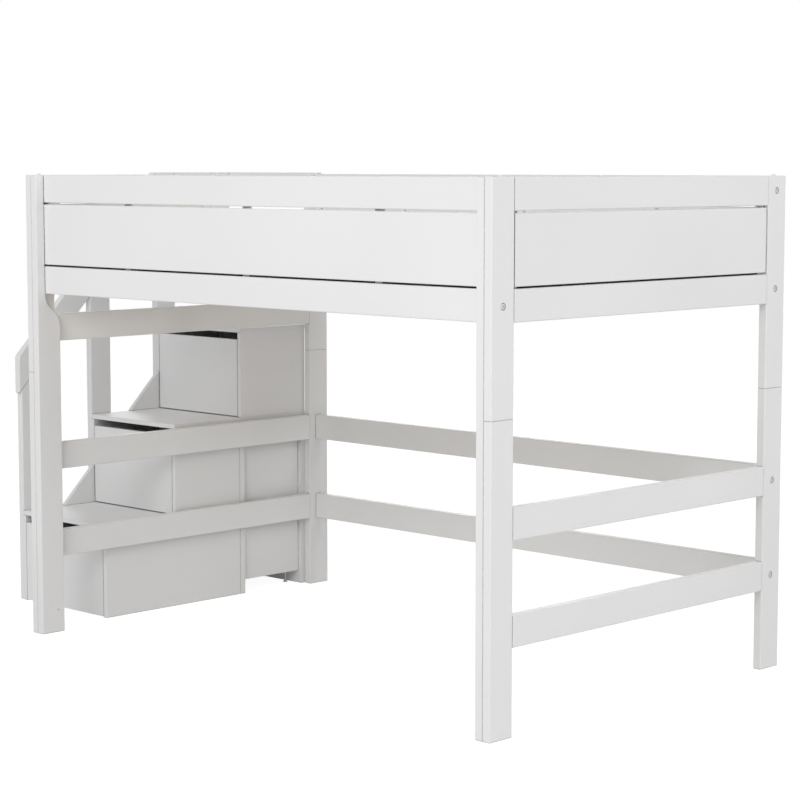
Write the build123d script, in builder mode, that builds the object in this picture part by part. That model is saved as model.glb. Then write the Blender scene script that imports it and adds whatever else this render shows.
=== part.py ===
from build123d import *
import math
import os

os.makedirs("parts", exist_ok=True)

# Millimetres throughout. X runs along the bed towards its foot end, Y from the open
# front to the back, Z up. The origin is on the floor, under the middle of the whole.

# Bed, overall
bed_length = 2060
bed_width = 1332
post_height = 1520
leg_height = 873

# Solid wood boards of the bed
board = 28
post_depth = 90
rail_height = 90
rail_recess = 32
arris = 2
end_arris = 1.5

# Undersides of the rails above the floor
low_rail_z = 248
mid_rail_z = 543
lower_rail_z = 1132
railing_top = 1525

# Guard panels and the battens behind them
panel_thickness = 16
panel_reveal = 6
panel_side_gap = 2
panel_play = 6
batten_width = 28
batten_pitch = 560

# Ogee that narrows the support legs below the long rail
ogee_drop = 108
pilot_hole_z = 75
pilot_hole_y = 64
pilot_hole_radius = 2.5
pilot_hole_depth = 12

# Entry from the landing
entry_width = 382

# Joinery
tenon_thickness = 10
tenon_height = 60
tenon_length = 28
joint_slack = 0.2
seam_tongue_width = 30
seam_tongue_height = 40
tongue_thickness = 6
tongue_width = 40
tongue_reach = 12
tongue_setback = 30
tongue_heights = (180, 480)
upper_tongue_rise = 87

# Fittings. Round stock that is out of sight is drawn with eight flats.
flat_count = 8
bolt_radius = 4
bolt_head_radius = 8.5
bolt_head_height = 3.5
bolt_socket = 6
bolt_socket_depth = 2.2
bolt_recess_radius = 10
bolt_recess_depth = 4
bolt_reach = 24
insert_radius = 6
insert_length = 26
plug_radius = 6
plug_height = 5
plug_stem_radius = 4
plug_stem_length = 13

# Slatted base
ledge_size = 28
slat_count = 14
slat_width = 70
slat_thickness = 16
slat_end_gap = 2
slat_margin = 45
beam_width = 60
beam_height = 26
hanger_wall = 2
hanger_reach = 40
hanger_width = 90
hanger_rise = 40

# Staircase
stair_gap = 9
stair_width = 476
stair_rear_setback = 80
step_rise = 322.5
step_run = 310
landing_run = 316
landing_rail_rise = 4.5
step_board = 16
stair_back_board = 22
step_arris = 1.5
rear_unit_z = 47
upstand_length = 135
upstand_tip = 4
foot_radius = 9
foot_pad = 6
foot_stud_radius = 3
foot_inset_x = 62
foot_inset_y = 24
foot_plate = 44
foot_plate_thickness = 3
spacer_width = 40
spacer_height = 60
spacer_inset = 150

# Railing
railing_inset = 4
handrail_flat = 4
handrail_nose = 18
handrail_toe = 6

# Drawers behind the risers
front_floor_gap = 3
front_side_gap = 2
finger_slot = 25
drawer_board = 12
drawer_bottom = 8
drawer_base_z = 30
drawer_side_height = 190
drawer_back_gap = 10
runner_space = 13
runner_height = 36
runner_wall = 1.4
runner_depth = 10
runner_slack = 0.4
runner_setback = 6
runner_level = 105

def span(low, size):
    """The stretch of one axis that starts at low."""
    return (low, low + size)


def about(centre, size):
    """The stretch of one axis that lies evenly about a centre."""
    return (centre - size / 2, centre + size / 2)


def middle(stretch):
    """The centre of a stretch."""
    return (stretch[0] + stretch[1]) / 2


def overlap(stretch, other):
    """Whether two stretches of one axis share some length."""
    return stretch[0] < other[1] and other[0] < stretch[1]


# Places worked out from the sizes above
stair_slope = math.atan2(step_rise, step_run)
overall_length = bed_length + stair_gap + stair_width + board
foot_x = overall_length / 2
end_x = foot_x - bed_length
stair_in_x = end_x - stair_gap
stair_out_x = stair_in_x - stair_width
railing_x = stair_out_x - board
front_y = -bed_width / 2
back_y = bed_width / 2
inner_x = (end_x + board, foot_x - board)
front_rail_y = (front_y + rail_recess, front_y + rail_recess + board)
back_rail_y = (back_y - rail_recess - board, back_y - rail_recess)
end_rail_y = (front_y + post_depth, back_y - post_depth)
newel_y = (end_rail_y[1] - entry_width - post_depth, end_rail_y[1] - entry_width)
foot_wall_x = (foot_x - board, foot_x)
stair_wall_x = (end_x, end_x + board)
top_rail_z = post_height - rail_height
guard_z = (lower_rail_z + rail_height, top_rail_z)
panel_z = (guard_z[0] + panel_reveal, guard_z[1] - panel_reveal)
base_z = lower_rail_z + ledge_size
bed_middle_x = (foot_x + end_x) / 2
stair_rear_y = back_y - stair_rear_setback
step_y = [stair_rear_y - landing_run - step_run * (2 - k) for k in range(3)]
unit_seam_y = step_y[2] + step_board
step_z = [step_rise * k for k in range(3)]
landing_rail_z = 3 * step_rise + landing_rail_rise
step_inner_x = (stair_out_x + step_board, stair_in_x - step_board)
lower_back_y = unit_seam_y - stair_back_board
box_back_y = [lower_back_y, lower_back_y, stair_rear_y - stair_back_board]
guard_back_y = back_y - board
tongue_y = about(front_y + tongue_setback, tongue_thickness)
tongue_z = [about(z, tongue_width) for z in (*tongue_heights, leg_height + upper_tongue_rise)]
railing_x_span = (railing_x, stair_out_x)


def rectangle(wide, high):
    """A rectangle between two limits each way, in the open sketch."""
    with Locations((middle(wide), middle(high))):
        Rectangle(wide[1] - wide[0], high[1] - high[0])


def plank(plane, wide, high, length, cut):
    """A board cut to length from a section with eased arrises."""
    with BuildPart() as piece:
        with BuildSketch(plane) as section:
            rectangle(wide, high)
            if cut:
                chamfer(section.vertices(), cut)
        extrude(amount=length)
    return piece.part


def board_along_x(x, y, z, cut=arris):
    """A board that runs along X."""
    return plank(Plane.YZ.offset(x[0]), y, z, x[1] - x[0], cut)


def board_along_y(x, y, z, cut=arris):
    """A board that runs along Y."""
    return plank(Plane.XZ.offset(-y[0]), x, z, y[0] - y[1], cut)


def board_along_z(x, y, z, cut=arris):
    """A board that stands upright."""
    return plank(Plane.XY.offset(z[0]), x, y, z[1] - z[0], cut)


def ease_ends(piece, both=True):
    """Take the sharp edge off the sawn ends of an upright board."""
    ends = piece.faces().sort_by(Axis.Z)
    edges = ends[-1].edges() + ends[0].edges() if both else ends[-1].edges()
    return chamfer(edges, end_arris)


def tenon_x(wall):
    """The middle of a board's thickness, where its tenons are."""
    return (middle(wall) - tenon_thickness / 2, middle(wall) + tenon_thickness / 2)


def tenon_z(rail_z):
    """The height of the tenon on a rail whose underside is at rail_z."""
    return span(rail_z + (rail_height - tenon_height) / 2, tenon_height)


def loosen(stretch):
    """A mortise is wider than its tenon by the slack on each side."""
    return (stretch[0] - joint_slack, stretch[1] + joint_slack)


def save(node, *pieces):
    """Write one node, as one piece or as a group of separate solids."""
    solids = [solid for piece in pieces for solid in piece.solids()]
    shape = solids[0] if len(solids) == 1 else Compound(children=solids)
    shape.label = node
    export_step(shape, f"parts/{node}.step")


# Corner posts. Each is a leg extension whose tongue fits the upper post above it. The end
# rails are tenoned into the inner edge, and the bolts of the long rails pass through.
END_RAILS = {
    "foot": (low_rail_z, mid_rail_z, lower_rail_z, top_rail_z),
    "stair": (low_rail_z, mid_rail_z, landing_rail_z, lower_rail_z, top_rail_z),
}
BOLTED_RAILS = {
    "front": (lower_rail_z,),
    "back": (low_rail_z, mid_rail_z, lower_rail_z, top_rail_z),
}
WALLS = {"foot": foot_wall_x, "stair": stair_wall_x}
POST_Y = {"front": span(front_y, post_depth), "back": span(back_y - post_depth, post_depth)}
BOLT_Y = {"front": middle(front_rail_y), "back": middle(back_rail_y)}


def outward(end):
    """+1 where the outer face of a wall looks along +X, else -1."""
    return 1 if end == "foot" else -1


def inner_face(end):
    """X of the wall's inner face."""
    return foot_wall_x[0] if end == "foot" else stair_wall_x[1]


def post_board(end, side, z):
    """One length of a corner post, with its mortises, bolt holes and seam joint."""
    wall = WALLS[end]
    post_y = POST_Y[side]
    outer_x = foot_x if end == "foot" else end_x
    inner_edge = post_y[1] if side == "front" else post_y[0]
    into_post = -1 if side == "front" else 1
    is_upper = z[1] == post_height
    open_entry = end == "stair" and side == "back"
    seam_tongue_y = about(middle(post_y), seam_tongue_width)
    with BuildPart() as post:
        with BuildSketch(Plane.XY.offset(z[0])) as section:
            rectangle(wall, post_y)
            chamfer(section.vertices(), arris)
        extrude(amount=z[1] - z[0])
        ease_ends(post)
        for rail_z in END_RAILS[end]:
            if overlap(tenon_z(rail_z), z) and not (open_entry and rail_z == top_rail_z):
                with BuildSketch(Plane.XZ.offset(-inner_edge)):
                    rectangle(loosen(tenon_x(wall)), loosen(tenon_z(rail_z)))
                extrude(amount=-into_post * (tenon_length + joint_slack), mode=Mode.SUBTRACT)
        for rail_z in BOLTED_RAILS[side]:
            if overlap(about(rail_z + rail_height / 2, 2 * bolt_recess_radius), z):
                centre = (BOLT_Y[side], rail_z + rail_height / 2)
                with BuildSketch(Plane.YZ.offset(outer_x)):
                    with Locations(centre):
                        Circle(bolt_recess_radius)
                extrude(amount=-outward(end) * bolt_recess_depth, mode=Mode.SUBTRACT)
                with BuildSketch(Plane.YZ.offset(outer_x)):
                    with Locations(centre):
                        RegularPolygon(bolt_radius + joint_slack, flat_count, major_radius=False)
                extrude(amount=-outward(end) * board, mode=Mode.SUBTRACT)
        if is_upper:
            with BuildSketch(Plane.XY.offset(z[0])):
                rectangle(loosen(tenon_x(wall)), loosen(seam_tongue_y))
            extrude(amount=seam_tongue_height + joint_slack, mode=Mode.SUBTRACT)
            with BuildSketch(Plane.XY.offset(z[1])):
                with Locations((middle(wall), middle(post_y))):
                    RegularPolygon(plug_stem_radius + joint_slack, flat_count, major_radius=False)
            extrude(amount=-(plug_stem_length + joint_slack), mode=Mode.SUBTRACT)
        else:
            with BuildSketch(Plane.XY.offset(z[1])):
                rectangle(tenon_x(wall), seam_tongue_y)
            extrude(amount=seam_tongue_height)
        if side == "front":
            with BuildSketch(Plane.YZ.offset(inner_face(end))):
                for tongue in tongue_z:
                    if overlap(tongue, z):
                        rectangle(loosen(tongue_y), loosen(tongue))
            extrude(amount=outward(end) * (tongue_reach + joint_slack), mode=Mode.SUBTRACT)
    return post.part


for end in WALLS:
    for side in POST_Y:
        save(f"upper_post_{end}_{side}", post_board(end, side, (leg_height, post_height)))
save(
    "leg_extensions",
    *[post_board(end, side, (0, leg_height)) for end in WALLS for side in POST_Y],
)


# Support legs, one in each front corner. Above the ogee only the strip in front of the
# long rails is left, so that the rails pass behind it to the corner post.
narrow_y = front_y + rail_recess
wide_y = front_y + post_depth
ogee_z = (lower_rail_z - ogee_drop, lower_rail_z)
guard_tongue_z = about(top_rail_z + rail_height / 2, tongue_width)


def support_leg(end):
    """A full height board with an ogee below the long rail."""
    side_x = inner_face(end)
    free_x = side_x - outward(end) * board
    with BuildPart() as leg:
        with BuildSketch(Plane.YZ.offset(min(side_x, free_x))) as outline:
            with BuildLine():
                Polyline(
                    (wide_y, ogee_z[0]),
                    (wide_y, 0),
                    (front_y, 0),
                    (front_y, post_height),
                    (narrow_y, post_height),
                    (narrow_y, ogee_z[1]),
                )
                bend = (middle((narrow_y, wide_y)), middle(ogee_z))
                TangentArc((narrow_y, ogee_z[1]), bend, tangent=(0, -1))
                TangentArc((wide_y, ogee_z[0]), bend, tangent=(0, 1))
            make_face()
            levels = outline.vertices().group_by(Axis.Y)
            chamfer(levels[0] + levels[-1], end_arris)
        extrude(amount=board)
        chamfer(leg.faces().filter_by(Axis.X).edges(), arris)
        with BuildSketch(Plane.YZ.offset(side_x)):
            for tongue in tongue_z:
                rectangle(loosen(tongue_y), loosen(tongue))
        extrude(amount=-outward(end) * (tongue_reach + joint_slack), mode=Mode.SUBTRACT)
        with BuildSketch(Plane.XZ.offset(-narrow_y)):
            rectangle(loosen(about(middle((side_x, free_x)), tongue_thickness)), loosen(guard_tongue_z))
        extrude(amount=tongue_reach + joint_slack, mode=Mode.SUBTRACT)
        if end == "stair":
            with BuildSketch(Plane.YZ.offset(free_x)):
                with Locations((front_y + pilot_hole_y, pilot_hole_z)):
                    Circle(pilot_hole_radius)
            extrude(amount=outward(end) * pilot_hole_depth, mode=Mode.SUBTRACT)
    return leg.part


for end in WALLS:
    save(f"support_leg_{end}", support_leg(end))


# Long rails. Each end takes a bolt in an insert nut, or a loose tongue at the front top.
def long_rail(y, rail_z, bolted=True):
    """A rail between the corner posts."""
    with BuildPart() as rail:
        with BuildSketch(Plane.YZ.offset(inner_x[0])) as section:
            rectangle(y, span(rail_z, rail_height))
            chamfer(section.vertices(), arris)
        extrude(amount=inner_x[1] - inner_x[0])
        for end in WALLS:
            end_face = inner_face(end)
            if bolted:
                with BuildSketch(Plane.YZ.offset(end_face)):
                    with Locations((middle(y), rail_z + rail_height / 2)):
                        RegularPolygon(insert_radius + joint_slack, flat_count, major_radius=False)
                extrude(amount=-outward(end) * (insert_length + joint_slack), mode=Mode.SUBTRACT)
            else:
                centre_x = end_face - outward(end) * board / 2
                with BuildSketch(Plane.XZ.offset(-y[0])):
                    rectangle(loosen(about(centre_x, tongue_thickness)), loosen(guard_tongue_z))
                extrude(amount=-(tongue_reach + joint_slack), mode=Mode.SUBTRACT)
    return rail.part


save("front_top_rail", long_rail(front_rail_y, top_rail_z, bolted=False))
save("front_lower_rail", long_rail(front_rail_y, lower_rail_z))
save("back_top_rail", long_rail(back_rail_y, top_rail_z))
save("back_lower_rail", long_rail(back_rail_y, lower_rail_z))
save("back_leg_rails", long_rail(back_rail_y, mid_rail_z), long_rail(back_rail_y, low_rail_z))


# End rails, tenoned into the inner edges of the posts.
def end_rail(wall, y, rail_z, newel_mortise=False):
    """A rail across one end, with a tenon at each end of it."""
    with BuildPart() as rail:
        with BuildSketch(Plane.XZ.offset(-y[0])) as section:
            rectangle(wall, span(rail_z, rail_height))
            chamfer(section.vertices(), arris)
        extrude(amount=y[0] - y[1])
        with BuildSketch(Plane.XZ.offset(-(y[0] - tenon_length))):
            rectangle(tenon_x(wall), tenon_z(rail_z))
        extrude(amount=y[0] - y[1] - 2 * tenon_length)
        if newel_mortise:
            with BuildSketch(Plane.XY.offset(rail_z + rail_height)):
                rectangle(loosen(tenon_x(wall)), loosen(newel_tenon_y))
            extrude(amount=-(tenon_length + joint_slack), mode=Mode.SUBTRACT)
    return rail.part


newel_tenon_y = about(middle(newel_y), tenon_height)
entry_y = (end_rail_y[0], newel_y[0])

save("foot_top_rail", end_rail(foot_wall_x, end_rail_y, top_rail_z))
save("foot_lower_rail", end_rail(foot_wall_x, end_rail_y, lower_rail_z))
save(
    "foot_leg_rails",
    end_rail(foot_wall_x, end_rail_y, mid_rail_z),
    end_rail(foot_wall_x, end_rail_y, low_rail_z),
)
save("entry_top_rail", end_rail(stair_wall_x, entry_y, top_rail_z))
save("entry_lower_rail", end_rail(stair_wall_x, end_rail_y, lower_rail_z, newel_mortise=True))
save("landing_rail", end_rail(stair_wall_x, end_rail_y, landing_rail_z))
save(
    "stair_leg_rails",
    end_rail(stair_wall_x, end_rail_y, mid_rail_z),
    end_rail(stair_wall_x, end_rail_y, low_rail_z),
)

# Entry post beside the opening, standing on the lower rail.
with BuildPart() as entry_post:
    with BuildSketch(Plane.XY.offset(guard_z[0])) as newel_section:
        rectangle(stair_wall_x, newel_y)
        chamfer(newel_section.vertices(), arris)
    extrude(amount=post_height - guard_z[0])
    ease_ends(entry_post, both=False)
    with BuildSketch(Plane.XY.offset(guard_z[0])):
        rectangle(tenon_x(stair_wall_x), newel_tenon_y)
    extrude(amount=-tenon_length)
    with BuildSketch(Plane.XZ.offset(-newel_y[0])):
        rectangle(loosen(tenon_x(stair_wall_x)), loosen(tenon_z(top_rail_z)))
    extrude(amount=-(tenon_length + joint_slack), mode=Mode.SUBTRACT)
    with BuildSketch(Plane.XY.offset(post_height)):
        with Locations((middle(stair_wall_x), middle(newel_y))):
            RegularPolygon(plug_stem_radius + joint_slack, flat_count, major_radius=False)
    extrude(amount=-(plug_stem_length + joint_slack), mode=Mode.SUBTRACT)
save("entry_post", entry_post.part)

# Guard panels, flush with the rails and with a shadow gap around them.
panel_x = (inner_x[0] + panel_side_gap, inner_x[1] - panel_side_gap)
front_panel_y = span(front_rail_y[0], panel_thickness)
back_panel_y = (back_rail_y[1] - panel_thickness, back_rail_y[1])
foot_panel_x = (foot_x - panel_thickness, foot_x)
stair_panel_x = span(end_x, panel_thickness)
foot_panel_y = (end_rail_y[0] + panel_side_gap, end_rail_y[1] - panel_side_gap - panel_play)
entry_panel_y = (entry_y[0] + panel_side_gap, entry_y[1] - panel_side_gap - panel_play)

save("front_panel", board_along_x(panel_x, front_panel_y, panel_z, step_arris))
save("back_panel", board_along_x(panel_x, back_panel_y, panel_z, step_arris))
save("foot_panel", board_along_y(foot_panel_x, foot_panel_y, panel_z, step_arris))
save("entry_panel", board_along_y(stair_panel_x, entry_panel_y, panel_z, step_arris))

# Battens that carry the panels, upright between the two rails of each guard.
long_batten_x = [about(bed_middle_x + batten_pitch * k, batten_width) for k in (-1, 0, 1)]
long_batten_x.append(span(inner_x[0], batten_width))
long_batten_x.append(span(inner_x[1] - batten_width, batten_width))
battens = []
for x in long_batten_x:
    battens.append(board_along_z(x, (front_panel_y[1], front_rail_y[1]), guard_z, 0))
    battens.append(board_along_z(x, (back_rail_y[0], back_panel_y[0]), guard_z, 0))
for y in (span(end_rail_y[0], batten_width), span(end_rail_y[1] - batten_width, batten_width)):
    battens.append(board_along_z((foot_wall_x[0], foot_panel_x[0]), y, guard_z, 0))
for y in (span(entry_y[0], batten_width), span(entry_y[1] - batten_width, batten_width)):
    battens.append(board_along_z((stair_panel_x[1], stair_wall_x[1]), y, guard_z, 0))
save("panel_battens", *battens)

# Slatted base: two ledges on the long rails, a beam in hangers and the slats.
front_ledge_y = span(front_rail_y[1], ledge_size)
back_ledge_y = (back_rail_y[0] - ledge_size, back_rail_y[0])
ledge_z = span(lower_rail_z, ledge_size)
save(
    "slat_ledges",
    board_along_x(inner_x, front_ledge_y, ledge_z, end_arris),
    board_along_x(inner_x, back_ledge_y, ledge_z, end_arris),
)

slat_y = (front_rail_y[1] + slat_end_gap, back_rail_y[0] - slat_end_gap)
slat_step = (inner_x[1] - inner_x[0] - 2 * slat_margin - slat_width) / (slat_count - 1)
slats = []
for k in range(slat_count):
    slat_x = span(inner_x[0] + slat_margin + slat_step * k, slat_width)
    slats.append(board_along_y(slat_x, slat_y, span(base_z, slat_thickness), step_arris))
save("slats", *slats)

beam_y = about(0, beam_width)
beam_z = (base_z - beam_height, base_z)
beam_x = (inner_x[0] + hanger_wall, inner_x[1] - hanger_wall)
save("centre_beam", board_along_x(beam_x, beam_y, beam_z, end_arris))


def beam_hanger(face_x, inward):
    """A bent steel shoe that hangs the beam on the inside of an end rail."""
    pocket_y = loosen(beam_y)
    cheek_y = (pocket_y[0] - hanger_wall, pocket_y[1] + hanger_wall)
    shoe_z = (beam_z[0] - hanger_wall, beam_z[1])
    with BuildPart() as hanger:
        with BuildSketch(Plane.YZ.offset(face_x)):
            rectangle(cheek_y, shoe_z)
        extrude(amount=inward * hanger_reach)
        with BuildSketch(Plane.YZ.offset(face_x + inward * hanger_wall)):
            rectangle(pocket_y, beam_z)
        extrude(amount=inward * hanger_reach, mode=Mode.SUBTRACT)
        with BuildSketch(Plane.YZ.offset(face_x)):
            rectangle(about(0, hanger_width), span(lower_rail_z, hanger_rise))
            rectangle(cheek_y, shoe_z)
        extrude(amount=inward * hanger_wall)
    return hanger.part


save("beam_hangers", beam_hanger(inner_x[0], 1), beam_hanger(inner_x[1], -1))


# Fittings of the bed frame.
def rail_bolt(end, side, rail_z):
    """A connecting bolt, its flat head sunk in the post, with a hexagon socket."""
    out = outward(end)
    outer_x = foot_x if end == "foot" else end_x
    seat_x = outer_x - out * bolt_recess_depth
    centre = (BOLT_Y[side], rail_z + rail_height / 2)
    with BuildPart() as bolt:
        with BuildSketch(Plane.YZ.offset(seat_x)):
            with Locations(centre):
                Circle(bolt_head_radius)
        extrude(amount=out * bolt_head_height)
        with BuildSketch(Plane.YZ.offset(seat_x + out * bolt_head_height)):
            with Locations(centre):
                RegularPolygon(bolt_socket / 2, 6, major_radius=False)
        extrude(amount=-out * bolt_socket_depth, mode=Mode.SUBTRACT)
        with BuildSketch(Plane.YZ.offset(seat_x)):
            with Locations(centre):
                RegularPolygon(bolt_radius, flat_count, major_radius=False)
        extrude(amount=-out * (board - bolt_recess_depth + bolt_reach))
    return bolt.part


def insert_nut(end, side, rail_z):
    """A threaded sleeve in the end of a long rail, round the bolt."""
    with BuildPart() as nut:
        with BuildSketch(Plane.YZ.offset(inner_face(end))):
            with Locations((BOLT_Y[side], rail_z + rail_height / 2)):
                RegularPolygon(insert_radius, flat_count, major_radius=False)
                RegularPolygon(bolt_radius + joint_slack, flat_count, major_radius=False, mode=Mode.SUBTRACT)
        extrude(amount=-outward(end) * insert_length)
    return nut.part


joints = [(end, side, z) for end in WALLS for side in BOLTED_RAILS for z in BOLTED_RAILS[side]]
save("rail_bolts", *[rail_bolt(*joint) for joint in joints])
save("insert_nuts", *[insert_nut(*joint) for joint in joints])


def post_plug(x, y):
    """A cap on the top of a post, its stem in a hole."""
    with BuildPart() as plug:
        with BuildSketch(Plane.XY.offset(post_height)):
            with Locations((x, y)):
                Circle(plug_radius)
        extrude(amount=plug_height)
        chamfer(plug.faces().sort_by(Axis.Z)[-1].edges(), end_arris)
        with BuildSketch(Plane.XY.offset(post_height)):
            with Locations((x, y)):
                RegularPolygon(plug_stem_radius, flat_count, major_radius=False)
        extrude(amount=-plug_stem_length)
    return plug.part


plug_spots = [(middle(WALLS[end]), middle(POST_Y[side])) for end in WALLS for side in POST_Y]
plug_spots.append((middle(stair_wall_x), middle(newel_y)))
save("post_plugs", *[post_plug(x, y) for x, y in plug_spots])

# Loose tongues, between each corner post and its support leg, and behind the front guard.
tongues = []
for end in WALLS:
    for tongue in tongue_z:
        tongues.append(board_along_z(about(inner_face(end), 2 * tongue_reach), tongue_y, tongue, 0))
    guard_tongue_x = about(inner_face(end) - outward(end) * board / 2, tongue_thickness)
    tongues.append(board_along_z(guard_tongue_x, about(narrow_y, 2 * tongue_reach), guard_tongue_z, 0))
save("loose_tongues", *tongues)


# Staircase of stacked boxes. Each tread covers its box and runs back under the next one.
outer_side_x = span(stair_out_x, step_board)
inner_side_x = (stair_in_x - step_board, stair_in_x)
side_rear_y = (lower_back_y, lower_back_y, stair_rear_y)
box_height = step_rise - step_board
for k in range(3):
    side_y = (step_y[k], side_rear_y[k])
    side_z = span(step_z[k], box_height)
    save(
        f"step_{k + 1}_sides",
        board_along_z(outer_side_x, side_y, side_z, step_arris),
        board_along_z(inner_side_x, side_y, side_z, step_arris),
    )

tread_rear_y = (unit_seam_y, stair_rear_y, stair_rear_y)
stair_x = (stair_out_x, stair_in_x)
for k in range(3):
    tread_z = span(step_z[k] + box_height, step_board)
    save(f"tread_{k + 1}", board_along_x(stair_x, (step_y[k], tread_rear_y[k]), tread_z, step_arris))

back_x = (stair_x, stair_x, step_inner_x)
save(
    "step_backs",
    *[
        board_along_z(back_x[k], span(box_back_y[k], stair_back_board), span(step_z[k], box_height), 0)
        for k in range(3)
    ],
)

# Rear unit under the landing, narrower than the boxes by a board on each side.
rear_y = (unit_seam_y, stair_rear_y - stair_back_board)
rear_z = (rear_unit_z, step_z[1] + box_height)
rear_out_x = span(outer_side_x[1], step_board)
rear_in_x = (inner_side_x[0] - step_board, inner_side_x[0])
foot_spots = [
    (stair_in_x - foot_inset_x, rear_y[1] - foot_inset_y),
    (stair_out_x + foot_inset_x, rear_y[1] - foot_inset_y),
]
save(
    "rear_unit",
    board_along_z(rear_out_x, rear_y, rear_z, 0),
    board_along_z(rear_in_x, rear_y, rear_z, 0),
    board_along_x((rear_out_x[1], rear_in_x[0]), rear_y, span(rear_unit_z, step_board), 0),
)
back_panel_span = (stair_rear_y - stair_back_board, stair_rear_y)
save("stair_back_panel", board_along_z(stair_x, back_panel_span, (0, rear_z[1]), 0))


def levelling_foot(x, y):
    """A screw foot: a round pad and its stud, turned as one piece."""
    stud_top = rear_unit_z - foot_plate_thickness
    with BuildPart() as foot:
        with BuildSketch(Plane.XZ.offset(-y)):
            with BuildLine():
                Polyline(
                    (x, 0),
                    (x + foot_radius, 0),
                    (x + foot_radius, foot_pad / 2),
                    (x + foot_radius - foot_pad / 2, foot_pad),
                    (x + foot_stud_radius, foot_pad),
                    (x + foot_stud_radius, stud_top),
                    (x, stud_top),
                    (x, 0),
                )
            make_face()
        revolve(axis=Axis((x, y, 0), (0, 0, 1)))
    return foot.part


def foot_bracket(x, y):
    """The plate nut under the rear unit that the foot screws into."""
    plate_z = (rear_unit_z - foot_plate_thickness, rear_unit_z)
    return board_along_z(about(x, foot_plate), about(y, foot_plate), plate_z)


feet = [levelling_foot(x, y) for x, y in foot_spots]
feet += [foot_bracket(x, y) for x, y in foot_spots]
save("levelling_feet", *feet)


def upstand(k):
    """The three-cornered cheek between a tread and the next box, on the outer side."""
    corner = (step_y[k + 1], step_z[k + 1])
    height = upstand_length * math.tan(stair_slope) - upstand_tip
    with BuildPart() as cheek:
        with BuildSketch(Plane.YZ.offset(stair_out_x)):
            with BuildLine():
                Polyline(
                    corner,
                    (corner[0], corner[1] + height),
                    (corner[0] - upstand_tip, corner[1] + height),
                    (corner[0] - upstand_length, corner[1] + upstand_tip),
                    (corner[0] - upstand_length, corner[1]),
                    corner,
                )
            make_face()
        extrude(amount=step_board)
    return cheek.part


save("upstands", upstand(0), upstand(1))


# Spacer blocks that hold the stair off the bed, on the two leg rails.
spacer_spots = [
    (step_y[k] + spacer_inset, rail_z + rail_height / 2)
    for k, rail_z in enumerate((low_rail_z, mid_rail_z))
]
spacer_spots += [(unit_seam_y - spacer_inset / 2, z) for _, z in spacer_spots]
save(
    "stair_spacers",
    *[
        board_along_x((stair_in_x, end_x), about(y, spacer_width), about(z, spacer_height))
        for y, z in spacer_spots
    ],
)


# Railing: posts on the outer side, a raked handrail and the guard round the landing.
raked_post_y = [span(step_y[k] + railing_inset, post_depth) for k in range(3)]
corner_post_y = (guard_back_y - post_depth, guard_back_y)
rail_front_y = step_y[0] - railing_inset
rail_end_y = raked_post_y[2][0]
crest_y = rail_end_y - handrail_flat
handrail_depth = rail_height / math.cos(stair_slope)


def handrail_underside(y):
    """Height of the handrail's lower edge, parallel to the line of the nosings."""
    return railing_top - handrail_depth + (y - crest_y) * math.tan(stair_slope)


def raked_post(y):
    """A railing post whose top is cut to the slope of the handrail."""
    with BuildPart() as post:
        with BuildSketch(Plane.YZ.offset(railing_x)):
            with BuildLine():
                Polyline(
                    (y[0], 0),
                    (y[1], 0),
                    (y[1], handrail_underside(y[1])),
                    (y[0], handrail_underside(y[0])),
                    (y[0], 0),
                )
            make_face()
        extrude(amount=board)
        chamfer(post.edges().filter_by(Axis.Z), arris)
    return post.part


def straight_post(y):
    """A railing post beside the landing."""
    with BuildPart() as post:
        with BuildSketch(Plane.XY) as section:
            rectangle(railing_x_span, y)
            chamfer(section.vertices(), arris)
        extrude(amount=railing_top)
        ease_ends(post)
    return post.part


save(
    "railing_posts",
    raked_post(raked_post_y[0]),
    raked_post(raked_post_y[1]),
    straight_post(raked_post_y[2]),
    straight_post(corner_post_y),
)

with BuildPart() as handrail:
    with BuildSketch(Plane.YZ.offset(railing_x)) as handrail_side:
        with BuildLine():
            Polyline(
                (rail_front_y, handrail_underside(rail_front_y)),
                (rail_end_y, handrail_underside(rail_end_y)),
                (rail_end_y, railing_top),
                (crest_y, railing_top),
                (rail_front_y, handrail_underside(rail_front_y) + handrail_depth),
                (rail_front_y, handrail_underside(rail_front_y)),
            )
        make_face()
        front_corners = handrail_side.vertices().group_by(Axis.X)[0].sort_by(Axis.Y)
        fillet(front_corners[-1], handrail_nose)
        fillet(front_corners[0], handrail_toe)
    extrude(amount=board)
    chamfer(handrail.faces().filter_by(Axis.X).edges(), arris)
save("handrail", handrail.part)

guard_levels = (railing_top - rail_height, lower_rail_z)
outer_guard_y = (raked_post_y[2][1], corner_post_y[0])
save(
    "landing_guard",
    *[board_along_y(railing_x_span, outer_guard_y, span(z, rail_height)) for z in guard_levels],
    *[board_along_x((railing_x, end_x), (guard_back_y, back_y), span(z, rail_height)) for z in guard_levels],
)

# Drawers. The riser of each step is the front of a drawer on telescopic runners.
front_x = (step_inner_x[0] + front_side_gap, step_inner_x[1] - front_side_gap)
body_x = (step_inner_x[0] + runner_space, step_inner_x[1] - runner_space)
front_top = box_height - finger_slot


def drawer_front(k):
    """The riser board, with a finger slot left above it."""
    z = (step_z[k] + front_floor_gap, step_z[k] + front_top)
    with BuildPart() as front:
        with BuildSketch(Plane.XZ.offset(-step_y[k])):
            rectangle(front_x, z)
        extrude(amount=-step_board)
        chamfer(front.faces().sort_by(Axis.Y)[0].edges(), step_arris)
    return front.part


def drawer_length(k):
    """Depth of the box behind the riser."""
    return box_back_y[k] - drawer_back_gap - step_y[k] - step_board


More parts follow.
